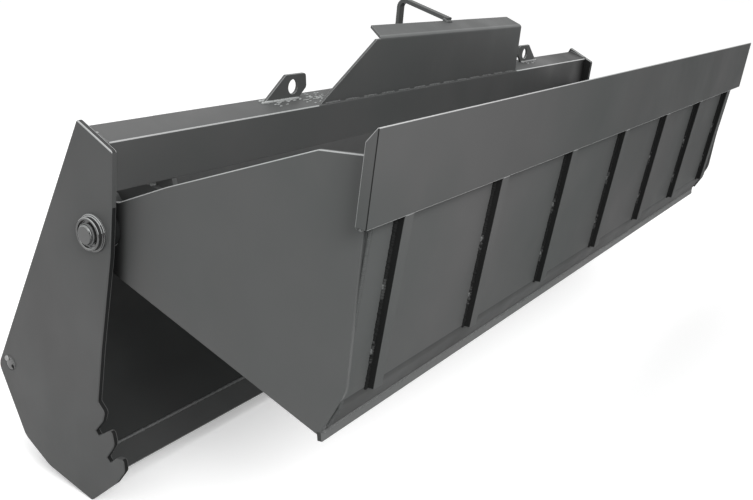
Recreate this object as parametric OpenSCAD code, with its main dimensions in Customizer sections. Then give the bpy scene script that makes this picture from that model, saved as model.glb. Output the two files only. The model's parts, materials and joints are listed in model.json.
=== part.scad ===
// Four-in-one combination bucket: a rear section with a blade, and a hinged clam
// that two hydraulic cylinders swing about pins in the side plates.
// Profiles are drawn in the side view as [y, z] points: y runs to the rear and z up,
// measured from the top front corner of a side plate. x is the bucket's width.

/* [Overall] */
// Width over the outer side plates
bucket_w = 2600; // [2300:50:2900]
// Angle that the clam swings through, from fully open to closed on the blade
clam_travel = 67; // [50:1:67]
// Thickness of the outer side plates
side_t = 14; // [8:1:16]

/* [Hinge and pins] */
// Distance of the hinge behind the side plates' front corner
hinge_back = 60; // [56:1:64]
// Depth of the hinge below the side plates' front corner
hinge_drop = 185; // [180:1:190]
// Diameter of the hinge pins
hinge_pin_d = 42; // [36:1:46]
// Diameter of the cylinder pins
cyl_pin_d = 32; // [26:1:36]
// Radial running clearance of pins in their bushes
pin_fit = 0.05; // [0.03:0.01:0.1]
// Outer diameter of the welded boss round each hinge pin
boss_d = 72; // [66:1:80]
// Height of that boss above the side plate
boss_h = 16; // [12:1:22]
// Wall of the bush in the clam's pivot tube
bush_wall = 6; // [4:0.5:8]
// Wall of the pivot tube
pivot_tube_wall = 10; // [8:1:14]

/* [Top beam and guard] */
// Plate thickness of the top beam
beam_t = 10; // [6:1:12]
// Height of the beam's front face
beam_h = 105; // [90:1:110]
// Depth of the beam's sloping top
beam_depth = 75; // [68:1:82]
// Set-back of the beam's front face from the side plates' front edge
beam_inset = 29.5; // [24:0.5:36]
// Plate thickness of the spill guard
guard_t = 8; // [5:1:10]
// Height of the spill guard above the beam
guard_h = 162; // [130:2:200]
// Width of the spill guard along its foot
guard_w = 1182; // [1000:2:1240]
// Length of the flange on the guard's top edge
guard_flange = 68; // [50:2:90]
// Width of the hose hoop's flat bar
hoop_w = 20; // [16:1:40]
// Thickness of the hose hoop's flat bar
hoop_t = 12; // [8:1:14]
// Diameter of the holes in the lifting eyes
eye_hole_d = 38; // [32:1:44]
// Plate thickness of the lifting eyes
eye_t = 8; // [6:1:14]

/* [Scoop and blade] */
// Plate thickness of the moldboard
moldboard_t = 8; // [6:1:12]
// Radius of the moldboard's curve
moldboard_r = 140; // [110:5:150]
// Thickness of the blade
blade_t = 22; // [18:1:26]
// Length of the blade, up the slope
blade_len = 65; // [55:1:75]
// Plate thickness of the skid plate below the blade
skid_t = 10; // [6:1:14]
// Thickness of the vertical ribs behind the moldboard
rib_t = 12; // [8:1:16]
// Depth of those ribs
rib_depth = 60; // [40:5:80]

/* [Coupler ears] */
// Thickness of each coupler ear
ear_t = 20; // [14:1:24]
// Clear gap between the two ears of a pair
ear_gap = 110; // [90:5:130]
// Distance from the centre line to the middle of each pair of ears
ear_x = 413; // [360:5:480]
// Diameter of the coupler pin bores
ear_bore_d = 50; // [40:1:56]
// Outer diameter of the rings round those bores
ear_ring_d = 96; // [84:2:110]
// Diameter of the tube between the inner ears
spreader_d = 70; // [50:2:80]

/* [Clam] */
// Distance of the clam's side plates inside the outer faces
clam_inset = 40; // [36:1:48]
// Thickness of the clam's side plates
clam_side_t = 10; // [8:1:14]
// Plate thickness of the clam's floor
floor_t = 10; // [6:1:14]
// Height of the cutting edge
edge_h = 173; // [150:1:190]
// Thickness of the cutting edge
edge_t = 23; // [18:1:26]
// Width of one wear bar
wear_w = 120; // [80:2:140]
// Thickness of the wear bars
wear_t = 16; // [10:1:20]
// Number of wear bars
wear_count = 7; // [3:1:9]
// Thickness of the inner lever plates
lever_t = 12; // [10:1:16]
// Distance from the hinge to the lever pin
lever_r = 105; // [100:1:108]

/* [Cylinders] */
// Outer diameter of the barrel
barrel_d = 90; // [80:1:92]
// Wall of the barrel
barrel_wall = 8; // [6:0.5:10]
// Diameter of the rod
rod_d = 44; // [36:1:50]
// Outer diameter of the eyes
cyl_eye_d = 80; // [76:1:84]
// Width of the eyes
cyl_eye_w = 76; // [60:1:80]
// Distance from the base pin to the end of the barrel
barrel_len = 345; // [330:1:350]

/* [Hidden] */
$fn = 64;

paint = [0.36, 0.37, 0.365];
paint_light = [0.42, 0.42, 0.42];
steel = [0.55, 0.55, 0.56];
bronze = [0.66, 0.52, 0.3];
chrome = [0.78, 0.78, 0.8];

// Widths, measured from the centre line
half_w = bucket_w / 2;
side_in = half_w - side_t;
clam_out = half_w - clam_inset;
clam_in = clam_out - clam_side_t;
cyl_gap = 10;
cyl_x = clam_in - cyl_gap - barrel_d / 2;
lever_gap = 8;
lever_out = cyl_x - barrel_d / 2 - lever_gap;
lever_in = lever_out - lever_t;
bracket_gap = 20;
bracket_t = 14;
bracket_out = lever_in - bracket_gap;
bracket_in = bracket_out - bracket_t;
doubler_t = 8;
thrust_gap = 0.5;

// Side view: pins
hinge = [hinge_back, -hinge_drop];
base_pin = [371, -602];
lever_hub_r = 74;
lobe_r = 42;
lever_pin = hinge + [lever_r, 0];

// Side view: the cylinder's line at rest. A true linkage would carry the rod eye along an
// arc; the cylinder swings steadily instead, so its eye has play for half the arc's height.
link_sag = lever_r * (1 - cos(clam_travel / 2)) / 2;
eye_play = link_sag + 0.9;
link_len = norm(lever_pin - base_pin);
link_lean = -asin(link_sag / link_len);
link_angle = atan2(lever_pin[1] - base_pin[1], lever_pin[0] - base_pin[0]) + link_lean;

// Side view: the outer side plate, [y, z, corner radius]
plate_rear = [104, 45, 4];
plate_lobe = [418, -618, 30];
lobe_shoulder = [326, -782, 40];
heel_corner = [238, -829, 60];
plate_tip = [84, -856, 10];
teeth = [[57, -584, 6], [35, -603, 12], [42, -628, 24], [67, -662, 4], [57, -671, 4], [14, -637, 9],
    [4, -674, 24], [30, -717, 4], [19, -726, 5], [-2, -704, 12], [-25, -699, 9], [-29, -728, 18], [0, -772, 60]];
side_outline = concat([[0, 0, 8], [3, -118, 0], [10, -226, 150], [42, -449, 300]], teeth,
    [plate_tip, heel_corner, lobe_shoulder, plate_lobe, plate_rear]);

// Side view: the beam
beam_slope = 17.3;
beam_top = [beam_inset, 9.6];
beam_rear = beam_top + beam_depth * [cos(beam_slope), sin(beam_slope)];
beam_foot = beam_top - [0, beam_h];
beam_lip = 40;
beam_r = 4;
beam_path = [beam_foot, concat(beam_top, beam_r), concat(beam_rear, beam_r), beam_rear - [0, beam_lip]];
function on_beam(y) = beam_top[1] + (y - beam_top[0]) * tan(beam_slope);

// Side view: the moldboard, the blade and the skid plate
blade_tip = [80, -817.5];
blade_dir = [sin(35), cos(35)];
blade_top = blade_tip + blade_len * blade_dir;
blade_back = blade_t * [blade_dir[1], -blade_dir[0]];
scoop_knee = [97, -204];
scoop_corner = [300, -622];
blade_run = blade_top - scoop_corner;
moldboard_path = [beam_foot, concat(scoop_knee, 40), concat(scoop_corner, moldboard_r), blade_top + 0.08 * blade_run];
notch_z = -330;
skid_front = blade_tip + blade_back + 4 * blade_dir;
skid_path = [skid_front, [115, -846, 14], [238, -823, 60], [318, -777, 20], [252, -633]];

// Side view: the coupler ears
lower_bore = [445, -560];
upper_bore = [215, -95];
spreader_at = [262, -185];

// Side view: the clam, open as at rest
edge_lean = atan2(18, 420);
floor_top = [-594, 110];
floor_dir = [sin(edge_lean), -cos(edge_lean)];
heel_at = 430;
heel_corner_at = floor_top + heel_at * floor_dir;
lip_top = [-526.2, -434.5];
floor_path = [floor_top, concat(heel_corner_at, 110), lip_top];
clam_crest = [-474.5, 98.5];
neck_bend = [-110, -54];
neck_end = [28, -119];
clam_rear_foot = [35, -287];
edge_foot_at = 113;
lip_h = 21;
lip_t = 12;
lip_dir = [-sin(10), -cos(10)];
lip_inside = lip_top + lip_t * left_of(lip_dir);

// Rounded outlines and bent sheets
function unit(v) = v / norm(v);
function flat(p) = [p[0], p[1]];
function left_of(v) = [-v[1], v[0]];
function arc_points(c, r, a0, turn) = let (n = max(2, ceil(abs(turn) / 9)))
    [for (i = [0 : n]) c + r * [cos(a0 + turn * i / n), sin(a0 + turn * i / n)]];
function turn_of(u, v) = atan2(u[0] * v[1] - u[1] * v[0], u[0] * v[0] + u[1] * v[1]);
function corner(a, p, b) = let (
        r = len(p) > 2 ? p[2] : 0,
        u = unit(flat(p) - flat(a)),
        v = unit(flat(b) - flat(p)),
        turn = turn_of(u, v),
        side = turn > 0 ? 1 : -1,
        cut = r * tan(abs(turn) / 2),
        start = flat(p) - cut * u,
        centre = start + side * r * left_of(u),
        out = start - centre)
    r == 0 || abs(turn) < 1 ? [flat(p)] : arc_points(centre, r, atan2(out[1], out[0]), turn);
function rounded(pts) = [for (i = [0 : len(pts) - 1])
    each corner(pts[(i + len(pts) - 1) % len(pts)], pts[i], pts[(i + 1) % len(pts)])];
function bent(pts) = [for (i = [0 : len(pts) - 1])
    each (i == 0 || i == len(pts) - 1 ? [flat(pts[i])] : corner(pts[i - 1], pts[i], pts[i + 1]))];
function normal_at(p, i) = let (
        a = i == 0 ? p[1] - p[0] : p[i] - p[i - 1],
        b = i == len(p) - 1 ? p[i] - p[i - 1] : p[i + 1] - p[i],
        n = unit(left_of(unit(a)) + left_of(unit(b))))
    n / (n * left_of(unit(b)));
function shifted(p, d) = [for (i = [0 : len(p) - 1]) p[i] + d * normal_at(p, i)];
function reversed(p) = [for (i = [len(p) - 1 : -1 : 0]) p[i]];
function sheet_outline(p, d0, d1) = concat(shifted(p, d0), reversed(shifted(p, d1)));
// Thick plate folded tightly: rounded outside, sharp inside
function folded(path, t) = concat(bent(path), reversed(shifted([for (p = path) flat(p)], t)));
// Where a straight line from p touches a circle, as an angle at its centre
function touch(p, c, r, side) = atan2(p[1] - c[1], p[0] - c[0]) + side * acos(r / norm(p - c));

beam_line = [for (p = beam_path) flat(p)];
moldboard_front = bent(moldboard_path);
moldboard_back = shifted(moldboard_front, moldboard_t);
skid_line = bent(skid_path);
floor_line = bent(floor_path);
floor_inside = shifted(floor_line, floor_t);

module placed() { translate([0, -lower_bore[0], -lower_bore[1]]) children(); }
module hand(side) { if (side < 0) mirror([1, 0, 0]) children(); else children(); }
module across(x0, x1) { rotate([90, 0, 90]) translate([0, 0, x0]) linear_extrude(height = x1 - x0) children(); }
module strip(path, d0, d1) { polygon(sheet_outline(path, d0, d1)); }
module rod_x(x0, x1, r, at) { translate([x0, at[0], at[1]]) rotate([0, 90, 0]) cylinder(h = x1 - x0, r = r); }
module disc(at, r) { translate(at) circle(r = r); }
// Plate outline round two circles of different size
module link(a, ra, b, rb) {
    d = b - a;
    lean = acos((ra - rb) / norm(d));
    heading = atan2(d[1], d[0]);
    disc(a, ra);
    disc(b, rb);
    polygon([for (s = [-1, 1], e = [0, 1]) let (
            w = heading + s * lean,
            first = s < 0 ? e == 0 : e == 1)
        (first ? a : b) + (first ? ra : rb) * [cos(w), sin(w)]]);
}
// Everything in front of the moldboard's back face, to cut other plates to it
module scoop_space() {
    front = -900;
    last = moldboard_back[len(moldboard_back) - 1];
    polygon(concat([[front, beam_foot[1]]], moldboard_back, [[front, last[1]]]));
}

// Everything inside the box that the skid plate closes below the moldboard
module skid_space() {
    last = skid_line[len(skid_line) - 1];
    polygon(concat(skid_line, [[0, last[1]]]));
}

// Rear section
module side_plate(side) {
    color(paint) placed() hand(side) across(side_in, half_w) difference() {
        polygon(rounded(side_outline));
        disc(hinge, hinge_pin_d / 2 + pin_fit);
        disc(base_pin, cyl_pin_d / 2 + pin_fit);
    }
}

module top_beam() {
    color(paint) placed() across(-side_in, side_in) polygon(folded(beam_path, -beam_t));
}

module beam_back_plate() {
    plate_t = 8;
    y0 = beam_rear[0];
    color(paint) placed() across(-bracket_in, bracket_in) difference() {
        translate([y0, scoop_knee[1] - 40]) square([plate_t, beam_rear[1] - beam_r - scoop_knee[1] + 40]);
        scoop_space();
    }
}

module moldboard() {
    reach = 400;
    color(paint) placed() difference() {
        across(-side_in, side_in) difference() {
            strip(moldboard_front, 0, moldboard_t);
            translate(beam_foot) square(reach);
            translate(blade_top) rotate(-35) translate([-reach / 2, -reach]) square(reach);
        }
        for (s = [-1, 1]) hand(s) across(bracket_in, half_w)
            translate([-reach, notch_z]) square(2 * reach);
    }
}

module dozer_blade() {
    color(paint_light) placed() across(-side_in, side_in)
        polygon([blade_tip, blade_top, blade_top + blade_back, blade_tip + blade_back]);
}

module skid_plate() {
    color(paint) placed() across(-side_in, side_in) difference() {
        strip(skid_line, 0, skid_t);
        scoop_space();
    }
}

// Folded sheet: a face with a slanted left side, and a flange leaning up to the rear
guard_y = beam_inset + 5.5;
guard_top_z = on_beam(guard_y) + guard_h;
guard_lean = 19;
guard_x = 11;
guard_left = guard_x - guard_w / 2;
guard_slant = 245;
flange_step = 17;
flange_slant = 44;
guard_edge = [guard_y, guard_top_z] + guard_flange * [cos(guard_lean), sin(guard_lean)];
guard_line = bent([[guard_y, beam_top[1]], [guard_y, guard_top_z, 12], guard_edge]);
module spill_guard() {
    fold_z = guard_top_z - 6;
    corner_x = guard_left + guard_slant;
    waste = 400;
    color(paint) placed() difference() {
        across(guard_left, guard_left + guard_w) strip(guard_line, 0, -guard_t);
        translate([0, waste, 0]) rotate([90, 0, 0]) linear_extrude(height = waste)
            polygon([[guard_left, beam_top[1]], [corner_x, fold_z], [-waste - guard_w, fold_z], [-waste - guard_w, beam_top[1]]]);
        translate([0, 0, fold_z]) linear_extrude(height = waste)
            polygon([[corner_x + flange_step, 0], [corner_x + flange_step, guard_y],
                [corner_x + flange_step + flange_slant, guard_edge[0] + 5], [-guard_w, guard_edge[0] + 5], [-guard_w, 0]]);
        across(-half_w, half_w) polygon([[0, -50], [0, on_beam(0)], [200, on_beam(200)], [200, -50]]);
    }
}

gusset_t = 10;
gusset_h = 96;
gusset_pitch = 335;
module guard_gussets() {
    y0 = guard_y + guard_t;
    y1 = beam_rear[0] - beam_r;
    color(paint) placed() for (i = [-1 : 1]) let (x = guard_x + gusset_t * 7.4 + i * gusset_pitch)
        across(x - gusset_t / 2, x + gusset_t / 2)
        polygon([[y0, on_beam(y0)], [y1, on_beam(y1)], [y1, on_beam(y1) + 14],
            [y0 + 14, on_beam(y0) + gusset_h], [y0, on_beam(y0) + gusset_h]]);
}

// Lifting eyes stand on the beam, slanted on the side that faces the bucket's end
eye_y = 82.6;
eye_left_x = -643;
eye_right_x = 762;
eye_rise = 31;
module lifting_eye(x, side) {
    z0 = on_beam(eye_y - eye_t / 2);
    head = 63;
    outline = [[110, 0, 0], [31, head, 6], [-50, head, 10], [-56, 26, 12], [-24, 0, 0]];
    color(paint) placed() difference() {
        translate([x, eye_y + eye_t / 2, z0]) rotate([90, 0, 0]) linear_extrude(height = eye_t) difference() {
            scale([side, 1]) polygon(rounded(outline));
            translate([0, eye_rise]) circle(d = eye_hole_d);
        }
        across(-half_w, half_w) polygon([[0, -50], [0, on_beam(0)], [200, on_beam(200)], [200, -50]]);
    }
}

hoop_x = 160;
hoop_back = 286;
hoop_top = 249;
hoop_r = 16;
module hose_hoop() {
    leg_y = hoop_back - hoop_t;
    path = bent([guard_edge - [8, 2], [leg_y, hoop_top - hoop_t, hoop_r], [leg_y, spreader_at[1]]]);
    color(paint) placed() difference() {
        across(hoop_x - hoop_w / 2, hoop_x + hoop_w / 2) difference() {
            strip(path, 0, hoop_t);
            strip(guard_line, 0, -guard_t);
        }
        rod_x(hoop_x - hoop_w, hoop_x + hoop_w, spreader_d / 2, spreader_at);
    }
}

ear_inner = ear_x - ear_gap / 2;
ear_outer = ear_x + ear_gap / 2;
spreader_wall = 6;
module spreader_tube() {
    color(paint) placed() difference() {
        rod_x(-ear_inner + ear_t, ear_inner - ear_t, spreader_d / 2, spreader_at);
        rod_x(-ear_inner, ear_inner, spreader_d / 2 - spreader_wall, spreader_at);
    }
}

ear_top = [beam_rear[0] + 8, -25];
ear_outline = [ear_top, [150, -25, 20], [upper_bore[0] + 62, upper_bore[1] + 48, 44],
    [upper_bore[0] + 72, upper_bore[1] - 60, 60], [lower_bore[0] + 66, lower_bore[1] + 70, 60],
    [lower_bore[0] + 64, lower_bore[1] - 66, 50],
    [280, -745], [240, -655], [100, -400], [ear_top[0], -240]];
module ear_shape() {
    difference() {
        polygon(rounded(ear_outline));
        scoop_space();
        skid_space();
        disc(upper_bore, ear_bore_d / 2);
        disc(lower_bore, ear_bore_d / 2);
    }
}
module coupler_ears(side) {
    color(paint) placed() hand(side) {
        across(ear_inner - ear_t, ear_inner) ear_shape();
        across(ear_outer, ear_outer + ear_t) ear_shape();
    }
}

ring_t = 10;
module coupler_rings() {
    color(paint) placed() for (side = [-1, 1], at = [upper_bore, lower_bore]) hand(side)
        across(ear_outer + ear_t, ear_outer + ear_t + ring_t) difference() {
            disc(at, ear_ring_d / 2);
            disc(at, ear_bore_d / 2);
        }
}

rib_outer = bucket_w * 9 / 26;
rib_inner = bucket_w * 17 / 65;
rib_places = [-rib_outer, -rib_inner, 0, rib_inner, rib_outer];
module back_ribs() {
    color(paint) placed() for (x = rib_places) across(x - rib_t / 2, x + rib_t / 2) difference() {
        strip(moldboard_front, moldboard_t, moldboard_t + rib_depth);
        translate([-100, scoop_knee[1] - 40]) square([600, 600]);
        skid_space();
        translate([-100, -900]) square([300, 250]);
    }
}

// Inner bracket: holds the inner ends of the hinge pin and the cylinder's base pin
bracket_outline = [beam_foot, beam_top, beam_rear, beam_rear - [0, 90], concat(base_pin + [38, 24], 36),
    concat(base_pin + [30, -44], 36), [318, -777], [200, -777], [150, -500], [158, notch_z],
    concat(hinge + [-48, -64], 46), concat(hinge + [-50, 40], 30)];
module cylinder_bracket(side) {
    color(paint) placed() hand(side) across(bracket_in, bracket_out) difference() {
        polygon(rounded(bracket_outline));
        difference() {
            scoop_space();
            translate([-100, notch_z]) square([400, 700]);
        }
        skid_space();
        strip(beam_line, 60, -beam_t);
        disc(hinge, hinge_pin_d / 2 + pin_fit);
        disc(base_pin, cyl_pin_d / 2 + pin_fit);
    }
}

doubler_r = 40;
module pivot_doubler(side) {
    color(paint) placed() hand(side) across(side_in - doubler_t, side_in) difference() {
        disc(hinge, doubler_r);
        disc(hinge, hinge_pin_d / 2 + pin_fit);
    }
}

boss_lip = 6;
boss_recess = 8;
module pivot_boss(side) {
    color(paint) placed() hand(side) difference() {
        union() {
            rod_x(half_w, half_w + boss_h, boss_d / 2, hinge);
            rod_x(half_w, half_w + 5, boss_d / 2 + 5, hinge);
        }
        rod_x(half_w - 1, half_w + boss_h + 1, hinge_pin_d / 2 + pin_fit, hinge);
        rod_x(half_w + boss_h - boss_recess, half_w + boss_h + 1, boss_d / 2 - boss_lip, hinge);
    }
}

pin_stand = 8;
module pin_shape(x0, x1, d, at) {
    bevel = 2;
    rod_x(x0, x1 - bevel, d / 2, at);
    translate([x1 - bevel, at[0], at[1]]) rotate([0, 90, 0]) cylinder(h = bevel, r1 = d / 2, r2 = d / 2 - bevel);
}
module pivot_pin(side) {
    color(steel) placed() hand(side)
        pin_shape(bracket_in - 6, half_w + boss_h + pin_stand, hinge_pin_d, hinge);
}

base_pin_stand = 1;
module base_pin_part(side) {
    color(steel) placed() hand(side)
        pin_shape(bracket_in - 6, half_w + base_pin_stand, cyl_pin_d, base_pin);
}

// Spacer rings that centre the cylinder's base eye on its pin
module base_pin_collars(side) {
    r = cyl_pin_d / 2 + 9;
    color(steel) placed() hand(side) difference() {
        union() {
            rod_x(bracket_out, cyl_x - cyl_eye_w / 2 - thrust_gap, r, base_pin);
            rod_x(cyl_x + cyl_eye_w / 2 + thrust_gap, side_in, r, base_pin);
        }
        rod_x(0, half_w, cyl_pin_d / 2 + pin_fit, base_pin);
    }
}

// Clam
lobe_start = touch(neck_end, lever_pin, lobe_r, -1);
lobe_end = touch(clam_rear_foot, lever_pin, lobe_r, 1);
module clam_side_shape() {
    difference() {
        polygon(concat([neck_bend, neck_end], arc_points(lever_pin, lobe_r, lobe_start, lobe_end - lobe_start),
            [clam_rear_foot, lip_inside + 8 * lip_dir, lip_inside], reversed(floor_inside), [clam_crest]));
        disc(hinge, tube_r);
        disc(lever_pin, cyl_pin_d / 2);
    }
}
module clam_side(side) {
    color(paint) placed() hand(side) across(clam_in, clam_out) clam_side_shape();
}

module clam_floor() {
    color(paint) placed() across(-clam_out, clam_out) polygon(sheet_outline(floor_line, 0, floor_t));
}

edge_point = 3;
edge_bevel = 28;
module clam_cutting_edge() {
    foot = floor_top + edge_foot_at * floor_dir;
    out = -edge_t * left_of(floor_dir);
    up = -floor_dir;
    color(paint_light) placed() across(-half_w - 1, half_w + 1)
        polygon([foot, foot + out, foot + out + edge_h * up,
            foot + (1 - edge_point / edge_t) * out + edge_h * up, foot + (edge_h - edge_bevel) * up]);
}

module clam_lip() {
    color(paint_light) placed() across(-clam_out, clam_out)
        polygon([lip_top, lip_top + lip_h * lip_dir, lip_inside + lip_h * lip_dir, lip_inside]);
}

module wear_bars() {
    pitch = bucket_w * 0.1445;
    foot = floor_top + (edge_foot_at + 1) * floor_dir;
    tail = floor_top + (heel_at - 18) * floor_dir;
    out = -wear_t * left_of(floor_dir);
    color(paint) placed() for (i = [0 : wear_count - 1])
        let (x = (i - (wear_count - 1) / 2) * pitch)
        across(x - wear_w / 2, x + wear_w / 2)
            polygon([foot, tail, tail + out - 6 * floor_dir, foot + out]);
}

module clam_lever(side) {
    color(paint) placed() hand(side) across(lever_in, lever_out) difference() {
        link(hinge, lever_hub_r, lever_pin, lobe_r);
        disc(hinge, tube_r);
        disc(lever_pin, cyl_pin_d / 2);
    }
}

bush_r = hinge_pin_d / 2 + bush_wall;
tube_r = bush_r + pivot_tube_wall;
tube_x0 = bracket_out + thrust_gap;
tube_x1 = side_in - doubler_t - thrust_gap;
module pivot_tube(side) {
    color(paint) placed() hand(side) difference() {
        rod_x(tube_x0, tube_x1, tube_r, hinge);
        rod_x(tube_x0 - 1, tube_x1 + 1, bush_r, hinge);
    }
}

module pivot_bush(side) {
    color(bronze) placed() hand(side) difference() {
        rod_x(tube_x0, tube_x1, bush_r, hinge);
        rod_x(tube_x0 - 1, tube_x1 + 1, hinge_pin_d / 2 + pin_fit, hinge);
    }
}

module lever_pin_part(side) {
    head = 5;
    color(steel) placed() hand(side) {
        rod_x(lever_in - head, clam_out + head, cyl_pin_d / 2, lever_pin);
        rod_x(lever_in - head, lever_in, cyl_pin_d / 2 + 6, lever_pin);
    }
}

// Cylinders, drawn along their own line from the base pin
cap_at = 40;
cap_t = 20;
gland_t = 32;
gland_r = barrel_d / 2 + 3;
spigot = 24;
piston_at = 66;
piston_t = 46;
module on_cylinder(side) {
    placed() hand(side) translate([cyl_x, base_pin[0], base_pin[1]]) rotate([link_angle, 0, 0]) children();
}
module along(y0, y1, r) { translate([0, y0, 0]) rotate([-90, 0, 0]) cylinder(h = y1 - y0, r = r); }
module eye_ring(y, r, bore) {
    translate([-cyl_eye_w / 2, y, 0]) rotate([0, 90, 0]) difference() {
        cylinder(h = cyl_eye_w, r = r);
        translate([0, 0, -1]) cylinder(h = cyl_eye_w + 2, r = bore);
    }
}

module cylinder_base(side) {
    color(paint) on_cylinder(side) {
        eye_ring(0, cyl_eye_d / 2, cyl_pin_d / 2 + pin_fit);
        difference() {
            union() {
                along(cap_at, cap_at + cap_t, barrel_d / 2);
                along(20, cap_at, barrel_d / 2 - 9);
            }
            translate([-cyl_eye_w, 0, 0]) rotate([0, 90, 0]) cylinder(h = 2 * cyl_eye_w, r = cyl_eye_d / 2 - 1);
        }
    }
}

port_r = 15;
port_bore = 8.5;
module cylinder_barrel(side) {
    color(paint) on_cylinder(side) difference() {
        union() {
            along(cap_at + cap_t, barrel_len, barrel_d / 2);
            for (y = [cap_at + cap_t + 24, barrel_len - 40]) translate([0, y, 0])
                rotate([180, 0, 0]) cylinder(h = barrel_d / 2 + 16, r = port_r);
        }
        along(cap_at + cap_t - 1, barrel_len + 1, barrel_d / 2 - barrel_wall);
        for (y = [cap_at + cap_t + 24, barrel_len - 40]) translate([0, y, 0])
            rotate([180, 0, 0]) cylinder(h = barrel_d, r = port_bore);
    }
}

module cylinder_gland(side) {
    color(steel) on_cylinder(side) difference() {
        union() {
            along(barrel_len, barrel_len + gland_t, gland_r);
            along(barrel_len - spigot, barrel_len, barrel_d / 2 - barrel_wall);
        }
        along(barrel_len - spigot - 1, barrel_len + gland_t + 1, rod_d / 2 + pin_fit);
    }
}

module cylinder_rod(side) {
    color(chrome) on_cylinder(side) along(piston_at, link_len - cyl_eye_d / 2 + 4, rod_d / 2);
}

module cylinder_piston(side) {
    color(steel) on_cylinder(side) difference() {
        along(piston_at + 6, piston_at + 6 + piston_t, barrel_d / 2 - barrel_wall - pin_fit);
        along(piston_at, piston_at + 20 + piston_t, rod_d / 2);
    }
}

module rod_eye(side) {
    color(paint) on_cylinder(side) difference() {
        union() {
            translate([-cyl_eye_w / 2, link_len, 0]) rotate([0, 90, 0]) cylinder(h = cyl_eye_w, r = cyl_eye_d / 2);
        }
        translate([-cyl_eye_w, link_len, 0]) rotate([0, 90, 0]) cylinder(h = 2 * cyl_eye_w, r = cyl_pin_d / 2 + eye_play);
        along(0, link_len - cyl_eye_d / 2 + 4, rod_d / 2);
    }
}

side_plate(-1);  // side_plate_left
side_plate(1);  // side_plate_right
top_beam();
beam_back_plate();
moldboard();
dozer_blade();
skid_plate();
spill_guard();
guard_gussets();
lifting_eye(eye_left_x, -1);  // lifting_eye_left
lifting_eye(eye_right_x, 1);  // lifting_eye_right
hose_hoop();
spreader_tube();
coupler_ears(-1);  // coupler_ears_left
coupler_ears(1);  // coupler_ears_right
coupler_rings();
back_ribs();
cylinder_bracket(-1);  // cylinder_bracket_left
cylinder_bracket(1);  // cylinder_bracket_right
pivot_doubler(-1);  // pivot_doubler_left
pivot_doubler(1);  // pivot_doubler_right
pivot_boss(-1);  // pivot_boss_left
pivot_boss(1);  // pivot_boss_right
pivot_pin(-1);  // pivot_pin_left
pivot_pin(1);  // pivot_pin_right
base_pin_part(-1);  // base_pin_left
base_pin_part(1);  // base_pin_right
base_pin_collars(-1);  // base_pin_collars_left
base_pin_collars(1);  // base_pin_collars_right
clam_side(-1);  // clam_side_left
clam_side(1);  // clam_side_right
clam_floor();
clam_cutting_edge();
clam_lip();
wear_bars();
clam_lever(-1);  // clam_lever_left
clam_lever(1);  // clam_lever_right
pivot_tube(-1);  // pivot_tube_left
pivot_tube(1);  // pivot_tube_right
pivot_bush(-1);  // pivot_bush_left
pivot_bush(1);  // pivot_bush_right
lever_pin_part(-1);  // lever_pin_left
lever_pin_part(1);  // lever_pin_right
cylinder_base(-1);  // cylinder_base_left
cylinder_base(1);  // cylinder_base_right
cylinder_barrel(-1);  // cylinder_barrel_left
cylinder_barrel(1);  // cylinder_barrel_right
cylinder_gland(-1);  // cylinder_gland_left
cylinder_gland(1);  // cylinder_gland_right
cylinder_rod(-1);  // cylinder_rod_left
cylinder_rod(1);  // cylinder_rod_right
cylinder_piston(-1);  // cylinder_piston_left
cylinder_piston(1);  // cylinder_piston_right
rod_eye(-1);  // rod_eye_left
rod_eye(1);  // rod_eye_right
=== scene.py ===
import json
import math
import random

import bmesh
import bpy
from mathutils import Euler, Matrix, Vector


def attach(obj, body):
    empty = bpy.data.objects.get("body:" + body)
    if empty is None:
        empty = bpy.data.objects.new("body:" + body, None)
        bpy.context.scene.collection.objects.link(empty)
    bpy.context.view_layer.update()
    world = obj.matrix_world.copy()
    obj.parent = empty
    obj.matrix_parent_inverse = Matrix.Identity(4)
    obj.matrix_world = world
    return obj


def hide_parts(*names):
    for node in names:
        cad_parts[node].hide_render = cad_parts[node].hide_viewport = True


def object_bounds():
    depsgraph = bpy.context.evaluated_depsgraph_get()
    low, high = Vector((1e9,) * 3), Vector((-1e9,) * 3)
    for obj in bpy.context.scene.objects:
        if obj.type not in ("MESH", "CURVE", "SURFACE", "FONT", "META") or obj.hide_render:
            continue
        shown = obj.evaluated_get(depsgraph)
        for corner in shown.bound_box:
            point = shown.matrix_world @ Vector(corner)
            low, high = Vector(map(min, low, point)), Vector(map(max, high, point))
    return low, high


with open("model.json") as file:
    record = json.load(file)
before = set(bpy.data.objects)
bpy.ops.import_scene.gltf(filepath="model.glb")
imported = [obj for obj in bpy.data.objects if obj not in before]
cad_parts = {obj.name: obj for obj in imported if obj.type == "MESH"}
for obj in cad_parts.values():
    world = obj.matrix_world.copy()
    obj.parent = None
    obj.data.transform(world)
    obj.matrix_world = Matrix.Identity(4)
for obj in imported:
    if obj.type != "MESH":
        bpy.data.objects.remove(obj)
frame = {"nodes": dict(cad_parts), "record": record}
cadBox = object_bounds()
print("frame loaded:", len(frame["nodes"]), "nodes")

# Places in the side view are in millimetres from the top front corner of a side plate,
# y to the rear and z up. The row's own origin is the lower coupler bore
lowerBore = (445, -560)
sides = (-1, 1)


def place(x, y, z):
    return Vector((x, y - lowerBore[0], z - lowerBore[1])) / 1000


def sideView(vertex):
    return Vector((vertex.co.y * 1000 + lowerBore[0], vertex.co.z * 1000 + lowerBore[1]))


# Camera, at the photograph's own viewpoint
cameraLook = {
    "place": (-2.4466, -1.8017, 1.0218),
    "turn": (69.995, -5.111, -55.952),  # degrees
    "lens": 42.5,
    "sensor": 36,
    "far": 60,
}


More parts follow.
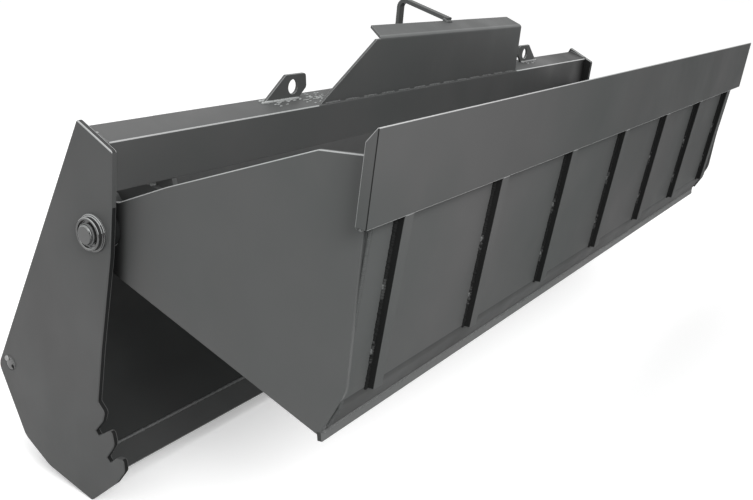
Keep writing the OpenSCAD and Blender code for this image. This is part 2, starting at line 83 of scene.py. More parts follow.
def makeCamera(look):
    data = bpy.data.cameras.new("camera")
    data.lens = look["lens"]
    data.sensor_width = look["sensor"]
    data.clip_end = look["far"]
    cam = bpy.data.objects.new("camera", data)
    bpy.context.collection.objects.link(cam)
    cam.location = look["place"]
    cam.rotation_euler = Euler([math.radians(a) for a in look["turn"]])
    bpy.context.scene.camera = cam


makeCamera(cameraLook)


# Node helpers
def addNode(tree, kind, **values):
    node = tree.nodes.new(kind)
    for key, value in values.items():
        if hasattr(node, key):
            setattr(node, key, value)
        else:
            node.inputs[key.replace("_", " ")].default_value = value
    return node


def wire(tree, source, output, target, socket):
    tree.links.new(source.outputs[output], target.inputs[socket])


def newMaterial(name):
    material = bpy.data.materials.new(name)
    material.use_nodes = True
    tree = material.node_tree
    return material, tree, tree.nodes["Principled BSDF"]


def patchNoise(tree, coords, size, detail=3, stretch=(1, 1, 1)):
    mapping = addNode(tree, "ShaderNodeMapping")
    mapping.inputs["Scale"].default_value = stretch
    noise = addNode(tree, "ShaderNodeTexNoise", Scale=1 / size, Detail=detail, Roughness=0.55)
    wire(tree, coords, "Object", mapping, "Vector")
    wire(tree, mapping, "Vector", noise, "Vector")
    return noise


def mixColour(tree, factor, first, second, low=0.35, high=0.65):
    ramp = addNode(tree, "ShaderNodeValToRGB")
    ramp.color_ramp.elements[0].position = low
    ramp.color_ramp.elements[1].position = high
    ramp.color_ramp.elements[0].color = (*first, 1)
    ramp.color_ramp.elements[1].color = (*second, 1)
    wire(tree, factor, "Fac", ramp, "Fac")
    return ramp


# A noise lies mostly between 0.3 and 0.7
def spread(tree, factor, low, high):
    span = addNode(tree, "ShaderNodeMapRange")
    span.inputs["From Min"].default_value = 0.3
    span.inputs["From Max"].default_value = 0.7
    span.inputs["To Min"].default_value = low
    span.inputs["To Max"].default_value = high
    wire(tree, factor, "Fac", span, "Value")
    return span


def raised(tree, noise, strength, depth, onTop=None):
    bump = addNode(tree, "ShaderNodeBump", Strength=strength, Distance=depth)
    wire(tree, noise, "Fac", bump, "Height")
    if onTop:
        wire(tree, onTop, "Normal", bump, "Normal")
    return bump


# Sprayed paint, with soft changes of tone, dust in streaks and an uneven skin
paintLook = {
    "dark": (0.078, 0.082, 0.081),
    "light": (0.094, 0.094, 0.094),
    "dust": (0.112, 0.111, 0.109),
    "dustShare": (-0.3, 0.16),
    "patch": 0.55,               # metres across a change of tone
    "streak": 0.14,
    "streakStretch": (1.0, 1.0, 0.7),
    "peel": 0.0035,              # orange peel of the spray
    "peelBump": (0.12, 0.0004),  # strength, metres
    "wave": 0.25,                # rolled plate is never quite flat
    "waveBump": (0.35, 0.004),
    "roughness": (0.42, 0.58),
}
# Painted shade darkens the colour along an axis, between two places in the row's own metres
hingeShadeRamp = {"axis": "Y", "start": -0.45, "full": -0.408, "colour": (0.012, 0.012, 0.012)}
beamEndShadeRamp = {"axis": "X", "start": 0.9, "full": 1.29, "colour": (0.01, 0.01, 0.01)}


# Painted shade: the paint turns toward a dark colour between the two places
def addPaintedShade(tree, coords, mix, look):
    parts = addNode(tree, "ShaderNodeSeparateXYZ")
    wire(tree, coords, "Object", parts, "Vector")
    span = addNode(tree, "ShaderNodeMapRange", interpolation_type="SMOOTHSTEP")
    span.inputs["From Min"].default_value = look["start"]
    span.inputs["From Max"].default_value = look["full"]
    wire(tree, parts, look["axis"], span, "Value")
    shadedColour = addNode(tree, "ShaderNodeMix", data_type="RGBA")
    wire(tree, span, "Result", shadedColour, 0)
    wire(tree, mix, 2, shadedColour, 6)
    shadedColour.inputs[7].default_value = (*look["colour"], 1)
    return shadedColour


# tone: against the plain grey; shine: off the roughness; sheen: the shader's specular level; the last
# argument adds painted shade along an axis
def makePaint(name, look=paintLook, tone=1.0, shine=0.0, sheen=0.3, shadeRamp=None):
    material, tree, shader = newMaterial(name)
    shader.inputs["Specular IOR Level"].default_value = sheen
    dark, light, dust = [[c * tone for c in look[key]] for key in ("dark", "light", "dust")]
    coords = addNode(tree, "ShaderNodeTexCoord")
    patches = patchNoise(tree, coords, look["patch"])
    tones = mixColour(tree, patches, dark, light)
    streaks = patchNoise(tree, coords, look["streak"], 4, look["streakStretch"])
    dustAmount = spread(tree, streaks, *look["dustShare"])
    dustAmount.clamp = True
    mix = addNode(tree, "ShaderNodeMix", data_type="RGBA")
    wire(tree, dustAmount, "Result", mix, 0)
    wire(tree, tones, "Color", mix, 6)
    mix.inputs[7].default_value = (*dust, 1)
    wire(tree, addPaintedShade(tree, coords, mix, shadeRamp) if shadeRamp else mix, 2, shader, "Base Color")
    low, high = look["roughness"]
    rough = spread(tree, streaks, low - shine, high - shine)
    wire(tree, rough, "Result", shader, "Roughness")
    peel = patchNoise(tree, coords, look["peel"], 2)
    waves = patchNoise(tree, coords, look["wave"], 2)
    waved = raised(tree, waves, *look["waveBump"])
    wire(tree, raised(tree, peel, *look["peelBump"], waved), "Normal", shader, "Normal")
    return material


# Bare metal, stained a little and finely grooved round the x axis
steelLook = {
    "stain": 0.03,
    "stained": 0.75,     # a stain's colour against the clean one
    "groove": 0.0012,
    "grooveStretch": (1.0, 0.05, 0.05),
    "grooveBump": (0.15, 0.0002),
}


def makeTurnedSteel(name, colour, roughness, look=steelLook):
    material, tree, shader = newMaterial(name)
    shader.inputs["Metallic"].default_value = 1.0
    coords = addNode(tree, "ShaderNodeTexCoord")
    stains = patchNoise(tree, coords, look["stain"], 4)
    tones = mixColour(tree, stains, [c * look["stained"] for c in colour], colour)
    wire(tree, tones, "Color", shader, "Base Color")
    lines = patchNoise(tree, coords, look["groove"], 2, look["grooveStretch"])
    rough = spread(tree, lines, *roughness)
    wire(tree, rough, "Result", shader, "Roughness")
    wire(tree, raised(tree, lines, *look["grooveBump"]), "Normal", shader, "Normal")
    return material


greyPaint = makePaint("greyPaint")
shadePaint = makePaint("shadePaint", tone=0.42, shine=-0.3, sheen=0.15)
# A lighter painted shade, on faces that turn down or away from the light
halfShadePaint = makePaint("halfShadePaint", tone=0.5, shine=-0.2)
lipPaint = makePaint("lipPaint", tone=1.5)
# Lighter copies of the grey, with almost no specular, stand in for the light on front faces: the
# edge-paint parts, and the clam's floor and bars
edgePaint = makePaint("edgePaint", tone=1.38, sheen=0.01)
floorPaint = makePaint("floorPaint", tone=1.58, sheen=0.01)
# The clam's sides: a lighter copy of the grey that stands in for light, with painted shade toward the
# hinge
sidePaint = makePaint("sidePaint", tone=1.14, shadeRamp=hingeShadeRamp)
# The beam: painted shade darkening it toward its right end
beamPaint = makePaint("beamPaint", shadeRamp=beamEndShadeRamp)
# A painted highlight along the guard's fold
foldHighlightPaint = makePaint("foldHighlightPaint", tone=1.6, shine=0.1)
# Painted highlight: a much lighter copy of the grey, on eased edges that face up and on small bright parts
highlightPaint = makePaint("highlightPaint", tone=4.8, shine=0.14)
# A still brighter painted highlight, on the beam's crest
crestHighlightPaint = makePaint("crestHighlightPaint", tone=7.5, shine=0.14)
weldPaint = makePaint("weldPaint", tone=1.5, shine=0.2)
# Dark painted shade, on front edges, bar flanks and gaps that sit in shadow
deepShadePaint = makePaint("deepShadePaint", tone=0.2, shine=-0.3, sheen=0.1)
bossPaint = makePaint("bossPaint", tone=0.3, shine=0.34, sheen=1.0)
pinPaint = makePaint("pinPaint", tone=0.75, shine=0.3, sheen=0.8)
turnedSteel = makeTurnedSteel("turnedSteel", (0.42, 0.42, 0.43), (0.28, 0.45))
rodChrome = makeTurnedSteel("rodChrome", (0.78, 0.79, 0.8), (0.08, 0.16))
bushBronze = makeTurnedSteel("bushBronze", (0.55, 0.38, 0.16), (0.3, 0.45))
print("materials made")

# Which of a piece's four looks a face takes: its own paint, a painted highlight, a dark painted shade,
# or a lighter painted shade (on the guard, a painted highlight along its fold). The beam's third look
# is a painted highlight on its crest
paint, highlight, deepShade, inShade = range(4)
crestHighlight = deepShade

# Heights in the side view that divide one look from another
levels = {
    "plateShadow": (-118, -2),    # a side plate's front edge takes painted shade below this, left and right
    "plateFoot": -800,
    "plateHead": -110,            # and its eased edge can take a painted highlight above this
    "plateCap": -60,
    "mouth": -240,
    "beamFoot": -88,
    "clamFold": -338,
    "guardFold": 150,
    "guardEnd": 175,
}
guardEnds = (-0.59, 0.606)        # metres; the beam's crest takes a painted highlight beyond the guard's foot
beamFront = -0.4155
tubeMouth = 1.262
smallFace = 0.002                 # square metres; an eased edge's faces are smaller
cutEnd = 0.0012                   # and so is the end of the guard's flange
cutsOf = {"top_beam": [("x", x) for x in guardEnds], "side_plate_right": [("y", beamFront)]}


def height(face):
    return face.center.z * 1000 + lowerBore[1]


def toFront(face):
    return face.normal.y < -0.2


def toSide(face):
    return abs(face.normal.x) > 0.9


def onFold(face):    # the slant along a plate's upper front fold
    return face.normal.z > 0.25 and face.normal.y < -0.35 and abs(face.normal.x) < 0.1


# A painted highlight where a face looks up
def looksUp(face):
    return highlight if face.normal.z > 0.25 else paint


# Painted shade on a side plate's front edge, between two heights
def frontEdge(face):
    left, right = levels["plateShadow"]
    top = left if face.center.x < 0 else right
    forward = toFront(face) and abs(face.normal.x) < 0.3
    return deepShade if forward and levels["plateFoot"] < height(face) < top else paint


# An eased edge takes a painted highlight high up, and the front edge's painted shade below
def plateEdge(face):
    return looksUp(face) if height(face) > levels["plateHead"] else frontEdge(face)


def plateFace(face):
    if face.normal.x < -0.9 and face.center.x > 0:    # the right plate's inner side, in painted shade
        return deepShade if face.center.y < beamFront else inShade
    # Faces that look up near the plate's top take the lighter painted shade
    shadow = frontEdge(face)
    cap = face.normal.z > 0.3 and height(face) > levels["plateCap"]
    return inShade if shadow == paint and cap else shadow


# Painted shade on each bar's flanks and underside
def barFlank(face):
    return deepShade if toSide(face) or face.normal.z < -0.6 else paint


# Painted shade on the scoop's front below the mouth's level
def scoopFace(face):
    return paint if face.normal.y > 0 or height(face) > levels["mouth"] else deepShade


# Painted shade on the beam's downward faces; painted highlights on its crest either side of the guard
def beamFace(face):
    if face.normal.z < -0.5 and height(face) < levels["beamFoot"]:
        return inShade
    if onFold(face) and face.center.x > guardEnds[1]:
        return crestHighlight
    return highlight if onFold(face) and face.center.x < guardEnds[0] else paint


# A painted highlight on the guard's fold and on its flange's cut end
def guardFace(face):
    if face.normal.x < -0.4 and height(face) > levels["guardEnd"] and face.area < cutEnd:
        return highlight    # the flange's cut end
    return inShade if onFold(face) and height(face) > levels["guardFold"] else paint


# Painted shade on the blade's front faces
def bladeFace(face):
    return inShade if toFront(face) else paint


# The hinge tube is in dark painted shade all over, its ends too
def tubeEnd(face):
    return deepShade if abs(face.center.x) > tubeMouth else paint


# Painted shade on the floor's lower fold where it faces the front
def foldFace(face):
    return inShade if height(face) < levels["clamFold"] and face.normal.y < -0.3 else paint


# Painted shade on the lip's ends
def lipEnd(face):
    return inShade if toSide(face) else paint


# Painted shade on the cutting edge's end where it faces the front, a painted highlight where it faces the
# rear
def cuttingEnd(face):
    toLeft = face.normal.x < -0.3
    if toLeft and toFront(face) and face.normal.z < 0.5:
        return deepShade
    return highlight if toLeft and face.normal.y > 0.2 else looksUp(face)


# Each piece's own finish, where it departs from its slot's. choose: a face's look; then an eased edge's
# look, a painted highlight or painted shade; ease: the edge's radius in millimetres; and whether eased
# edges take the painted highlight
plainLook = {"choose": None, "edgeLight": looksUp, "ease": 1.8, "edgeHighlights": True, "clamp": True,
             "dark": deepShadePaint, "shade": halfShadePaint}
pieceLooks = {
    "side_plate": {"choose": plateFace, "edgeLight": plateEdge, "ease": 2.6, "clamp": False},
    "top_beam": {"paint": beamPaint, "dark": crestHighlightPaint, "choose": beamFace},
    "beam_back_plate": {"edgeHighlights": False},
    "moldboard": {"dark": shadePaint, "choose": scoopFace, "edgeHighlights": False},
    "dozer_blade": {"choose": bladeFace, "ease": 2.0},
    # On the guard the fourth look is the painted highlight along its fold
    "spill_guard": {"shade": foldHighlightPaint, "choose": guardFace, "ease": 2.0},
    "back_ribs": {"edgeHighlights": False},
    "cylinder_bracket": {"edgeHighlights": False},
    "pivot_boss": {"paint": bossPaint},
    "pivot_pin": {"ease": 1.6},
    "pivot_tube": {"paint": deepShadePaint, "choose": tubeEnd, "edgeHighlights": False},
    "clam_side": {"paint": sidePaint, "ease": 2.0},
    "clam_floor": {"paint": floorPaint, "choose": foldFace},
    "clam_cutting_edge": {"edgeLight": cuttingEnd, "ease": 2.4},
    "clam_lip": {"paint": lipPaint, "choose": lipEnd, "edgeHighlights": False},
    "clam_lever": {"edgeHighlights": False},
    "wear_bars": {"paint": floorPaint, "choose": barFlank},
    "cylinder_rod": {"ease": 1.0},
}
finishOf = {
    "grey_paint": (greyPaint, highlightPaint),
    "edge_paint": (edgePaint, highlightPaint),
    "pin_steel": (pinPaint, highlightPaint),
    "rod_chrome": (rodChrome, rodChrome),
    "machined_steel": (turnedSteel, turnedSteel),
    "bronze": (bushBronze, bushBronze),
}
bodyOf = {}
for bodyName, members in frame["record"]["behaviour"]["bodies"].items():
    for member in members:
        bodyOf[member] = bodyName
slotOf = {part["node"]: part["material_slot"] for part in frame["record"]["subparts"]}


# Plates: a merged copy of each solid with its edges eased, so that they catch the light
plateLook = {
    "merge": 0.002,    # millimetres
    "flat": 0.4,       # degrees; faces that turn less become one
    "sharp": 32,       # degrees; an edge that turns more is eased
    "steps": 2,
}


def mergedCopy(nodeName):
    mesh = frame["nodes"][nodeName].data.copy()
    work = bmesh.new()
    work.from_mesh(mesh)
    bmesh.ops.remove_doubles(work, verts=work.verts, dist=plateLook["merge"] / 1000)
    flat = math.radians(plateLook["flat"])
    bmesh.ops.dissolve_limit(work, angle_limit=flat, verts=work.verts, edges=work.edges)
    for axis, at in cutsOf.get(nodeName, ()):
        everything = list(work.verts) + list(work.edges) + list(work.faces)
        way = Vector((axis == "x", axis == "y", 0))
        bmesh.ops.bisect_plane(work, geom=everything, plane_co=way * at, plane_no=way)
    work.to_mesh(mesh)
    work.free()
    return mesh


def bakeModifiers(obj):
    graph = bpy.context.evaluated_depsgraph_get()
    mesh = bpy.data.meshes.new_from_object(obj.evaluated_get(graph))
    obj.modifiers.clear()
    obj.data = mesh


def dress(nodeName, ownMesh=None):
    family = nodeName.removesuffix("_left").removesuffix("_right")
    look = {**plainLook, **pieceLooks.get(family, {})}
    body, slotName = bodyOf[nodeName], slotOf[nodeName]
    coat, bright = finishOf[slotName]
    mesh = ownMesh or mergedCopy(nodeName)
    mesh.materials.clear()
    mesh.materials.append(look.get("paint", coat))
    mesh.materials.append(bright if look["edgeHighlights"] else coat)
    mesh.materials.append(look["dark"])
    mesh.materials.append(look["shade"])
    for face in mesh.polygons:
        face.material_index = look["choose"](face) if look["choose"] else paint
    obj = bpy.data.objects.new(nodeName + "_plate", mesh)
    bpy.context.collection.objects.link(obj)
    sharp = math.radians(plateLook["sharp"])
    mesh.shade_smooth()
    mesh.set_sharp_from_angle(angle=sharp)
    bevel = obj.modifiers.new("easedEdges", "BEVEL")
    bevel.width = look["ease"] / 1000
    bevel.segments = plateLook["steps"]
    bevel.limit_method = "ANGLE"
    bevel.angle_limit = sharp
    bevel.use_clamp_overlap = look["clamp"]
    bevel.harden_normals = True
    bevel.miter_outer = "MITER_ARC"
    bevel.material = highlight
    bakeModifiers(obj)
    # An eased edge's small faces then take the piece's painted highlight or painted shade
    for face in obj.data.polygons:
        if face.material_index == highlight and face.area < smallFace:
            face.material_index = look["edgeLight"](face)
    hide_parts(nodeName)
    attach(obj, body)


# Lines in the side view; a corner's third number is its radius
arcSteps = 12


def bentLine(corners):
    line = [Vector(corners[0][:2])]
    for before, at, after in zip(corners, corners[1:], corners[2:]):
        a, b, c = Vector(before[:2]), Vector(at[:2]), Vector(after[:2])
        u, v = (a - b).normalized(), (c - b).normalized()
        half = u.angle(v) / 2
        reach = at[2] / math.tan(half)
        centre = b + (u + v).normalized() * at[2] / math.sin(half)
        first, last = b + u * reach - centre, b + v * reach - centre
        turn = first.angle_signed(last)
        for i in range(arcSteps + 1):
            angle = -turn * i / arcSteps
            line.append(centre + Vector((math.cos(angle) * first.x - math.sin(angle) * first.y,
                                         math.sin(angle) * first.x + math.cos(angle) * first.y)))
    line.append(Vector(corners[-1][:2]))
    return line


def beside(line, gap):
    moved = []
    for i, spot in enumerate(line):
        run = line[min(i + 1, len(line) - 1)] - line[max(i - 1, 0)]
        moved.append(spot + Vector((-run.y, run.x)).normalized() * gap)
    return moved


def between(line, low, high):
    return [spot for spot in line if low <= spot.y <= high]


def extruded(name, outline, spans):
    work = bmesh.new()
    for low, high in spans:
        left = [work.verts.new(place(low, *spot)) for spot in outline]
        right = [work.verts.new(place(high, *spot)) for spot in outline]
        work.faces.new(left)
        work.faces.new(right[::-1])
        for i in range(len(outline)):
            j = (i + 1) % len(outline)
            work.faces.new((left[j], left[i], right[i], right[j]))
    bmesh.ops.recalc_face_normals(work, faces=work.faces)
    mesh = bpy.data.meshes.new(name)
    work.to_mesh(mesh)
    work.free()
    return mesh


# The clam's floor slopes to the rear and folds to the lip; its bars lie on it
clamFloorLook = {
    "outside": bentLine([(-597, 110), (-557.5, -372, 60), (-526.4, -434.5)]),
    "thick": 8,
    "halfWidth": 1252,
}
barLook = {
    "count": 7,
    "width": 30,
    "pitch": 385,
    "thick": 19,
    "sunk": 0.3,         # share of the thickness that lies in the floor
    "bevel": 5,
    "top": (-588.5, -4.5),
    "topThick": 0.97,    # share of it at the top, behind the cutting edge's face
    "foot": (-557.5, -366),
}
# The clam's sides stand a little proud of the floor, along the same fold
clamSideLook = {
    "front": bentLine([(-591.5, 110), (-572.2, -334, 80), (-526.4, -434.4)]),
    "bendBefore": -540,             # where the solid has its own bend
    "bendHeights": (-345, -290),
    "corner": (-514.4, -436.6),     # and its lower front corner
}
hoopLook = {
    "middle": 0.160,
    "wider": 1.4,
}


def floorMesh(look):
    inside = beside(look["outside"], look["thick"])
    return extruded("clamFloor", look["outside"] + inside[::-1], [(-look["halfWidth"], look["halfWidth"])])


def barMiddle(look, i):
    return (i - (look["count"] - 1) / 2) * look["pitch"]


def barMesh(look):
    top, foot = Vector(look["top"]), Vector(look["foot"])
    run = (foot - top).normalized()
    out = Vector((run.y, -run.x)) * look["thick"]
    outline = [top - out * look["sunk"], foot - out * look["sunk"],
               foot + out - run * look["bevel"], top + out * look["topThick"]]
    half = look["width"] / 2
    middles = [barMiddle(look, i) for i in range(look["count"])]
    return extruded("wearBars", outline, [(x - half, x + half) for x in middles])


def proudSide(nodeName, look):
    mesh = mergedCopy(nodeName)
    low, high = look["bendHeights"]
    arc = [v for v in mesh.vertices if sideView(v).x < look["bendBefore"] and low < sideView(v).y < high]
    rows = sorted({round(v.co.z, 5) for v in arc}, reverse=True)
    spotOf = {z: look["front"][1 + round(arcSteps * i / (len(rows) - 1))] for i, z in enumerate(rows)}
    for v in arc:
        v.co = place(v.co.x * 1000, *spotOf[round(v.co.z, 5)])
    for v in mesh.vertices:
        if (sideView(v) - Vector(look["corner"])).length < 1:
            v.co = place(v.co.x * 1000, *look["front"][-1])
    return mesh


def widened(nodeName, look):
    mesh = mergedCopy(nodeName)
    for v in mesh.vertices:
        v.co.x = look["middle"] + (v.co.x - look["middle"]) * look["wider"]
    return mesh


ownMeshes = {
    "clam_floor": floorMesh(clamFloorLook),
    "wear_bars": barMesh(barLook),
    "clam_side_left": proudSide("clam_side_left", clamSideLook),
    "clam_side_right": proudSide("clam_side_right", clamSideLook),
    "hose_hoop": widened("hose_hoop", hoopLook),
}
for name in frame["nodes"]:
    dress(name, ownMeshes.get(name))
print("plates dressed")

# Weld beads, laid along paths by Geometry Nodes: overlapping drops, each a little off the width
weldLook = {
    "pitch": 5.5,
    "width": 8.0,
    "wobble": 0.24,
    "seed": 11,
}
smoothLook = {
    "pitch": 3.4,
    "width": 9.0,
    "wobble": 0.06,
    "seed": 3,
}
dropLook = {
    "segments": 7,
    "rings": 4,
    "overlap": 1.9,    # a drop's length against the pitch
}


def mathNode(tree, operation, **fixed):
    node = addNode(tree, "ShaderNodeMath", operation=operation)
    for key, value in fixed.items():
        node.inputs["ab".index(key)].default_value = value
    return node


def socketValues(look, coat, width=None):
    return {"Pitch": look["pitch"] / 1000, "Width": (width or look["width"]) / 1000,
            "Wobble": look["wobble"], "Seed": look["seed"], "Paint": coat}


def makeWeldTree(look, coat, drops):
    tree = bpy.data.node_groups.new("weldBead", "GeometryNodeTree")
    sockets = tree.interface
    sockets.new_socket("Geometry", in_out="INPUT", socket_type="NodeSocketGeometry")
    kinds = {"Seed": "NodeSocketInt", "Paint": "NodeSocketMaterial"}
    for name, value in socketValues(look, coat).items():
        kind = kinds.get(name, "NodeSocketFloat")
        socket = sockets.new_socket(name, in_out="INPUT", socket_type=kind)
        socket.default_value = value
    sockets.new_socket("Geometry", in_out="OUTPUT", socket_type="NodeSocketGeometry")
    start = addNode(tree, "NodeGroupInput")
    end = addNode(tree, "NodeGroupOutput")
    toCurve = addNode(tree, "GeometryNodeMeshToCurve")
    resample = addNode(tree, "GeometryNodeResampleCurve", mode="LENGTH")
    drop = addNode(tree, "GeometryNodeMeshUVSphere", Radius=0.5)
    drop.inputs["Segments"].default_value = drops["segments"]
    drop.inputs["Rings"].default_value = drops["rings"]
    smooth = addNode(tree, "GeometryNodeSetShadeSmooth")
    tangent = addNode(tree, "GeometryNodeInputTangent")
    align = addNode(tree, "FunctionNodeAlignEulerToVector", axis="Z")
    jitter = addNode(tree, "FunctionNodeRandomValue", data_type="FLOAT")
    low = mathNode(tree, "SUBTRACT", a=1)
    high = mathNode(tree, "ADD", a=1)
    breadth = mathNode(tree, "MULTIPLY")
    length = mathNode(tree, "MULTIPLY", b=drops["overlap"])
    size = addNode(tree, "ShaderNodeCombineXYZ")
    scatter = addNode(tree, "GeometryNodeInstanceOnPoints")
    realize = addNode(tree, "GeometryNodeRealizeInstances")
    painted = addNode(tree, "GeometryNodeSetMaterial")
    wire(tree, start, "Geometry", toCurve, "Mesh")
    wire(tree, toCurve, "Curve", resample, "Curve")
    wire(tree, start, "Pitch", resample, "Length")
    wire(tree, resample, "Curve", scatter, "Points")
    wire(tree, drop, "Mesh", smooth, "Geometry")
    wire(tree, smooth, "Geometry", scatter, "Instance")
    wire(tree, tangent, "Tangent", align, "Vector")
    wire(tree, align, "Rotation", scatter, "Rotation")
    wire(tree, start, "Wobble", low, 1)
    wire(tree, start, "Wobble", high, 1)
    wire(tree, low, 0, jitter, 2)
    wire(tree, high, 0, jitter, 3)
    wire(tree, start, "Seed", jitter, "Seed")
    wire(tree, jitter, 1, breadth, 0)
    wire(tree, start, "Width", breadth, 1)
    wire(tree, start, "Pitch", length, 0)
    wire(tree, breadth, 0, size, "X")
    wire(tree, breadth, 0, size, "Y")
    wire(tree, length, 0, size, "Z")
    wire(tree, size, "Vector", scatter, "Scale")
    wire(tree, scatter, "Instances", realize, "Geometry")
    wire(tree, realize, "Geometry", painted, "Geometry")
    wire(tree, start, "Paint", painted, "Material")
    wire(tree, painted, "Geometry", end, "Geometry")
    return tree


weldTree = makeWeldTree(weldLook, weldPaint, dropLook)


def layWelds(name, paths, body, look=weldLook, coat=weldPaint, width=None):
    points, edges = [], []
    for path in paths:
        first = len(points)
        points += [tuple(p) for p in path]
        edges += [(i, i + 1) for i in range(first, len(points) - 1)]
    mesh = bpy.data.meshes.new(name)
    mesh.from_pydata(points, edges, [])
    obj = bpy.data.objects.new(name, mesh)
    bpy.context.collection.objects.link(obj)
    nodes = obj.modifiers.new("weldBead", "NODES")
    nodes.node_group = weldTree
    values = socketValues(look, coat, width)
    for item in weldTree.interface.items_tree:
        if item.in_out == "INPUT" and item.name in values:
            nodes[item.identifier] = values[item.name]
    bakeModifiers(obj)
    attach(obj, body)


# Paths that a bead follows
def ringPath(x, centre, radius, steps=40, start=0, turn=360):
    angles = [math.radians(start + turn * i / steps) for i in range(steps + 1)]
    return [place(x, centre[0] + radius * math.cos(a), centre[1] + radius * math.sin(a)) for a in angles]


def seam(line, x):
    return [place(x, *spot) for spot in line]


def across(x0, x1, spot):
    return [place(x0, *spot), place(x1, *spot)]


def stitches(start, end, count, share, at):
    runs = []
    for i in range(count):
        a, b = (i + (1 - share) / 2) / count, (i + (1 + share) / 2) / count
        runs.append([at(start + (end - start) * a), at(start + (end - start) * b)])
    return runs


# Places of the welded pieces in the side view
hinge = (60, -185)
basePin = (371, -602)
upperBore = (215, -95)
spreader = (262, -185)
leverPin = (165, -185)
beamTop = (29.5, 9.6)
beamFoot = (29.5, -95.4)
beamSlope = math.tan(math.radians(17.3))
bladeTop = (117.3, -764.3)
scoopFront = bentLine([beamFoot, (97, -204, 40), (300, -622, 140), bladeTop])
scoopThick = 8
scoopBack = beside(scoopFront, scoopThick)
skidOuter = bentLine([(100, -827), (115, -846, 14), (238, -823, 60), (318, -777, 20), (252, -633)])
secondBendEnd = 2 * (arcSteps + 1)    # the scoop's last point before its straight foot


def onBeam(y):
    return beamTop[1] + (y - beamTop[0]) * beamSlope


beamWeldLook = {
    "ends": (1284, (32, 60, 96)),
    "guardFront": (-570, 592, 13, 0.62),    # from, to, stitches, share that is laid
    "guardFrontAt": (34.4, 34),             # the bead's y, and the y whose height it takes
    "guardBack": (-560, 590, 9, 0.6),
    "guardBackAt": 44,
    "gussets": (-250, 85, 420),
    "gussetHalf": 6,
    "gussetFoot": ((44, 16), (96, 30)),
    "gussetBack": ((44, 30), (44, 104)),
}


def weldTopBeam(look):
    x, run = look["ends"]
    paths = [[place(side * x, y, onBeam(y)) for y in run] for side in sides]
    front, level = look["guardFrontAt"]
    back = look["guardBackAt"]
    paths += stitches(*look["guardFront"], lambda x: place(x, front, onBeam(level)))
    paths += stitches(*look["guardBack"], lambda x: place(x, back, onBeam(back)))
    for middle in look["gussets"]:
        for side in sides:
            x = middle + side * look["gussetHalf"]
            paths += [seam(look["gussetFoot"], x), seam(look["gussetBack"], x)]
    return paths


lugWeldLook = {
    "lugs": ((-760, -622), (742, 868)),
    "faces": (77.6, 87.6),
    "proud": 0.5,
}


def weldLugs(look):
    paths = []
    for left, right in look["lugs"]:
        paths += [across(left, right, (y, onBeam(y) + look["proud"])) for y in look["faces"]]
    return paths


hoopWeldLook = {
    "beads": (147, 154, 160, 166, 173),
    "run": ((90, 193), (101, 199)),
    "width": 12,
}


def weldHoop(look):
    return [seam(look["run"], x) for x in look["beads"]]


pivotWeldLook = {
    # x, radius, steps, and for a part of a ring its start and turn in degrees
    "boss": (1300.5, 39, 40),
    "pin": (1317, 22.5, 24),
    "collar": (1095.5, 17.5, 24),
    "basePin": (1300, 17.5, 24, 60, 130),
    "width": 5,
}


def weldPivots(look):
    paths = []
    for side in sides:
        for spot, key in ((hinge, "boss"), (hinge, "pin"), (basePin, "collar"), (basePin, "basePin")):
            x, *ring = look[key]
            paths.append(ringPath(side * x, spot, *ring))
    return paths


scoopWeldLook = {
    "ribs": (0, -680, 680, -900, 900),
    "ribHalf": 7,
    "ears": (338, 358, 468, 488),
    "behind": (-600, -130),
    "earRing": (489, 49, 48),          # x, radius, steps
    "tubeRing": (337, 36, 36),
    "blade": 1280,
    "plates": (1284.5, -760, -340),    # x, lowest, highest
    "brackets": (1095, -330, -100),
}


def weldScoop(look):
    behind = between(scoopBack, *look["behind"])
    paths = [seam(behind, x + side * look["ribHalf"]) for x in look["ribs"] for side in sides]
    paths += [seam(behind, side * x) for x in look["ears"] for side in sides]
    x, *ring = look["earRing"]
    paths += [ringPath(side * x, at, *ring) for side in sides for at in (upperBore, lowerBore)]
    x, *ring = look["tubeRing"]
    paths += [ringPath(side * x, spreader, *ring) for side in sides]
    paths.append(across(-look["blade"], look["blade"], bladeTop))
    for key in ("plates", "brackets"):
        x, *span = look[key]
        paths += [seam(between(scoopFront, *span), side * x) for side in sides]
    return paths


skidWeldLook = {
    "plates": 1285.5,
    "bare": 3,            # points of the skid's line before its beads start
    "gap": 1,
    "front": (101, -829),
    "halfWidth": 1280,
    "stitches": (22, 0.7),
}


def weldUnder(look):
    half = look["halfWidth"]
    paths = [seam(skidOuter[look["bare"]:], side * look["plates"]) for side in sides]
    paths.append(across(-half, half, look["front"]))
    spot = beside(scoopBack, look["gap"])[secondBendEnd]
    return paths + stitches(-half, half, *look["stitches"], lambda x: place(x, *spot))


clamWeldLook = {
    "inside": (1248, 11, -400, 120),    # x, off the floor's outside, lowest, highest
    "tubes": (1129, 1143, 1249),
    "tubeRing": (38.5, 40),
    "leverPins": (1143, 1249),
    "pinRing": (17, 24),
    "edgeEnds": ((1262, 1298, (-600, -5)), (1257, 1290, (-589, -6))),
    "edgeFoot": (-1250, 1250, 14, 0.5),
    "edgeFootAt": (-590, -4),
    "lip": (1252, (-526, -435)),
}


def weldClam(look):
    paths = []
    x, gap, low, high = look["inside"]
    inside = between(beside(clamFloorLook["outside"], gap), low, high)
    for side in sides:
        paths.append(seam(inside, side * x))
        paths += [ringPath(side * at, hinge, *look["tubeRing"]) for at in look["tubes"]]
        paths += [ringPath(side * at, leverPin, *look["pinRing"]) for at in look["leverPins"]]
        paths += [across(side * x0, side * x1, spot) for x0, x1, spot in look["edgeEnds"]]
    paths += stitches(*look["edgeFoot"], lambda at: place(at, *look["edgeFootAt"]))
    half, spot = look["lip"]
    paths.append(across(-half, half, spot))
    return paths


